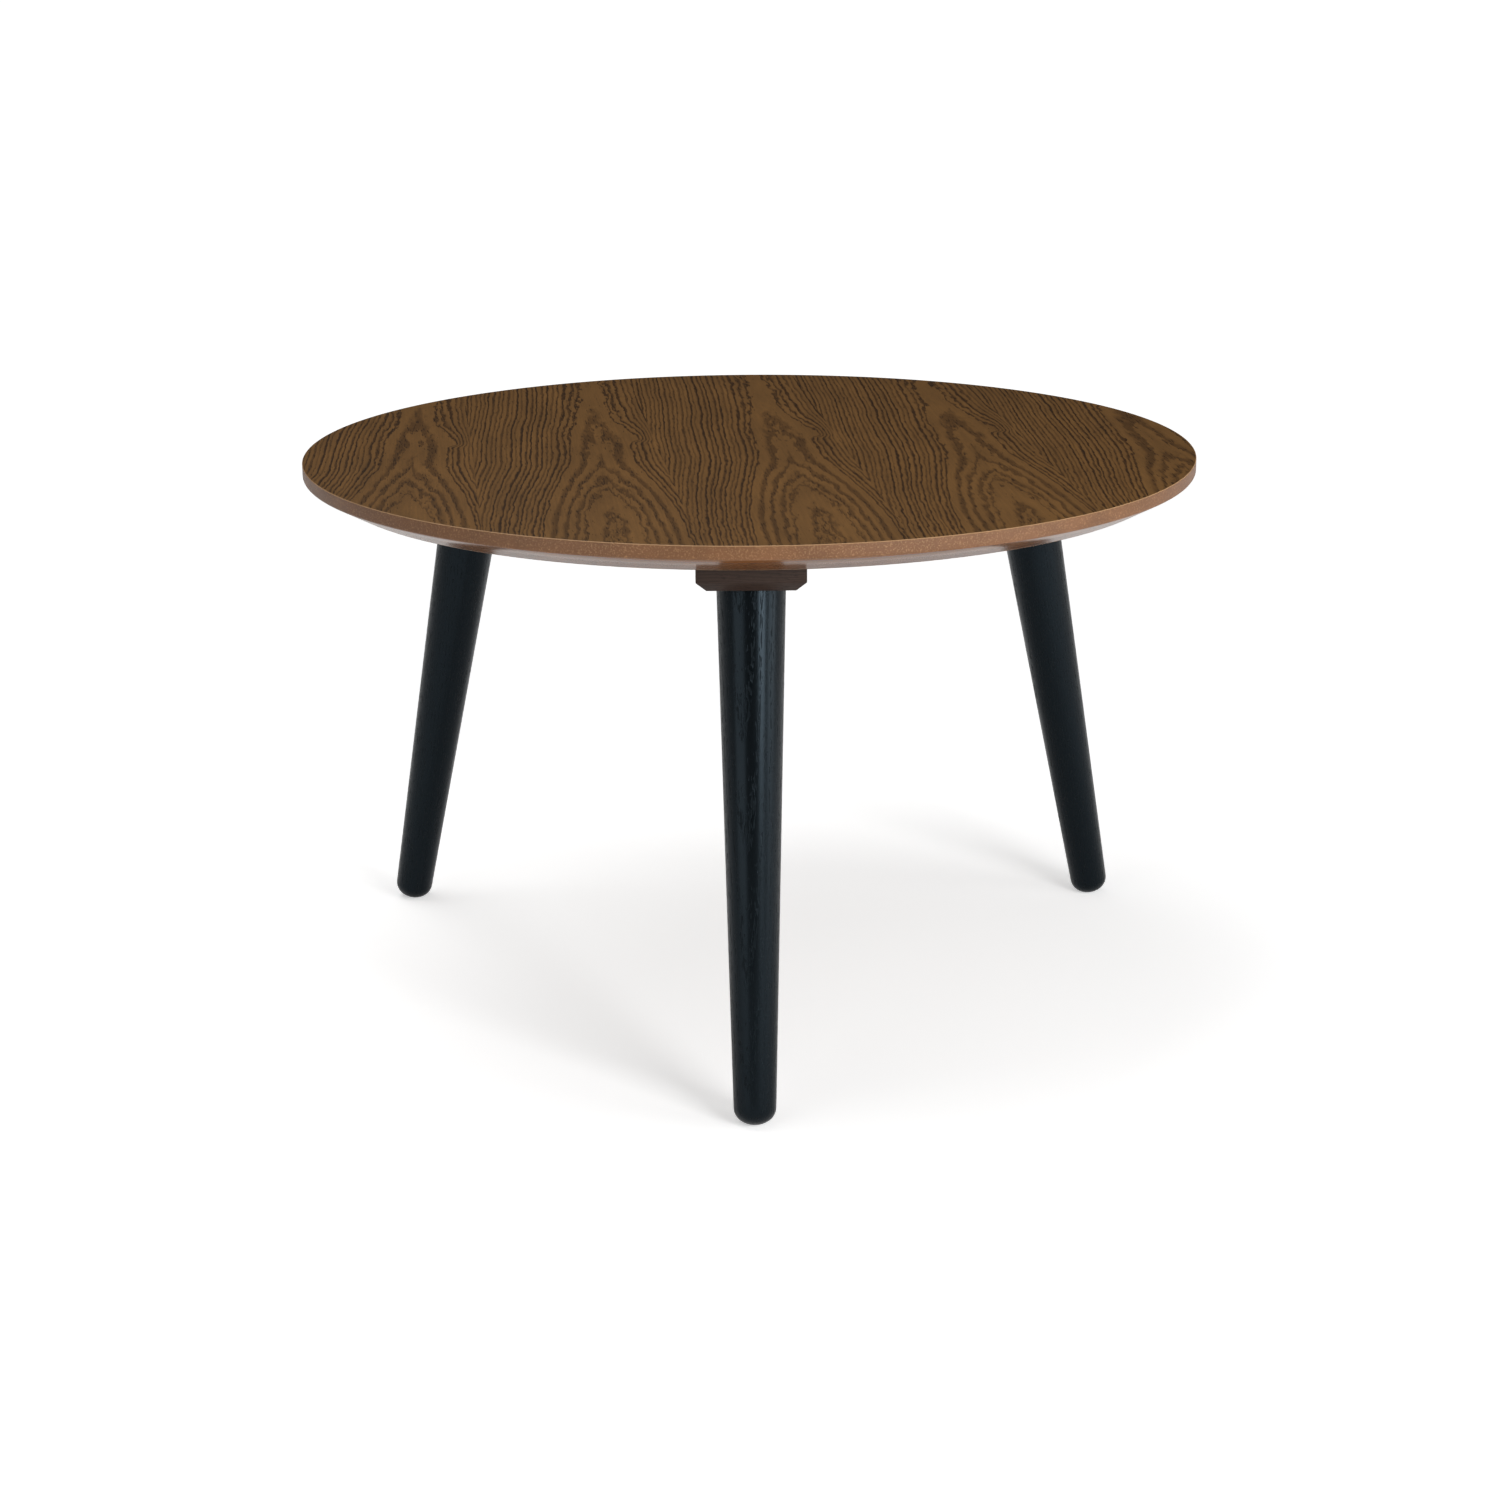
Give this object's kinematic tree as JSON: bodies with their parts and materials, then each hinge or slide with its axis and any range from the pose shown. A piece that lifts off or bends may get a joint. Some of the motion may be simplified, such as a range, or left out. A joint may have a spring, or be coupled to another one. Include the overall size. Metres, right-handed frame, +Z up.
{
  "type": "round cocktail table",
  "caption": "Round low table: a veneered board with a bevelled edge on turned, splayed legs that unscrew from blocks under the top.",
  "frame": {"origin": "on the floor, below the middle of the round top", "axes": "+Z up, -Y towards the front leg, +X to the right seen from the front"},
  "size_m": [0.75, 0.7577, 0.46],
  "materials": {
    "face_veneer": "ash veneer, walnut stain, satin lacquer",
    "core_board": "MDF, stained and lacquered at its edge",
    "backing_veneer": "plain backing veneer, sealed",
    "block_wood": "solid wood, dark walnut stain, satin lacquer",
    "black_ash": "open-pored ash, black stain, satin lacquer",
    "zinc_plated_steel": "bright zinc plate"
  },
  "bodies": {
    "tabletop": {"top_core": "core_board", "backing_veneer": "backing_veneer", "veneer_leaf_1": "face_veneer", "veneer_leaf_2": "face_veneer", "veneer_leaf_3": "face_veneer", "veneer_leaf_4": "face_veneer", "veneer_leaf_5": "face_veneer", "mounting_block_front": "block_wood", "block_screws_front": "zinc_plated_steel", "insert_nut_front": "zinc_plated_steel", "mounting_block_right": "block_wood", "block_screws_right": "zinc_plated_steel", "insert_nut_right": "zinc_plated_steel", "mounting_block_left": "block_wood", "block_screws_left": "zinc_plated_steel", "insert_nut_left": "zinc_plated_steel"},
    "front_bolt": {"hanger_bolt_front": "zinc_plated_steel"},
    "front_leg": {"leg_front": "black_ash"},
    "right_bolt": {"hanger_bolt_right": "zinc_plated_steel"},
    "right_leg": {"leg_right": "black_ash"},
    "left_bolt": {"hanger_bolt_left": "zinc_plated_steel"},
    "left_leg": {"leg_left": "black_ash"}
  },
  "joints": [
    {"name": "front_bolt_slide", "type": "slide", "parent": "tabletop", "child": "front_bolt", "axis": [0, -0.2079, -0.9781], "range_m": [0, 0.01376]},
    {"name": "front_leg_turn", "type": "hinge", "parent": "front_bolt", "child": "front_leg", "pos_m": [0, -0.28004, 0.41865], "axis": [0, -0.2079, -0.9781], "range_deg": [0, 3960]},
    {"name": "right_bolt_slide", "type": "slide", "parent": "tabletop", "child": "right_bolt", "axis": [0.1801, 0.104, -0.9781], "range_m": [0, 0.01376]},
    {"name": "right_leg_turn", "type": "hinge", "parent": "right_bolt", "child": "right_leg", "pos_m": [0.24253, 0.14002, 0.41865], "axis": [0.1801, 0.104, -0.9781], "range_deg": [0, 3960]},
    {"name": "left_bolt_slide", "type": "slide", "parent": "tabletop", "child": "left_bolt", "axis": [-0.1801, 0.104, -0.9781], "range_m": [0, 0.01376]},
    {"name": "left_leg_turn", "type": "hinge", "parent": "left_bolt", "child": "left_leg", "pos_m": [-0.24253, 0.14002, 0.41865], "axis": [-0.1801, 0.104, -0.9781], "range_deg": [0, 3960]}
  ],
  "couplings": [
    {"joint": "front_bolt_slide", "follows": "front_leg_turn", "m_per_rad": 0.00019894},
    {"joint": "right_bolt_slide", "follows": "right_leg_turn", "m_per_rad": 0.00019894},
    {"joint": "left_bolt_slide", "follows": "left_leg_turn", "m_per_rad": 0.00019894}
  ]
}
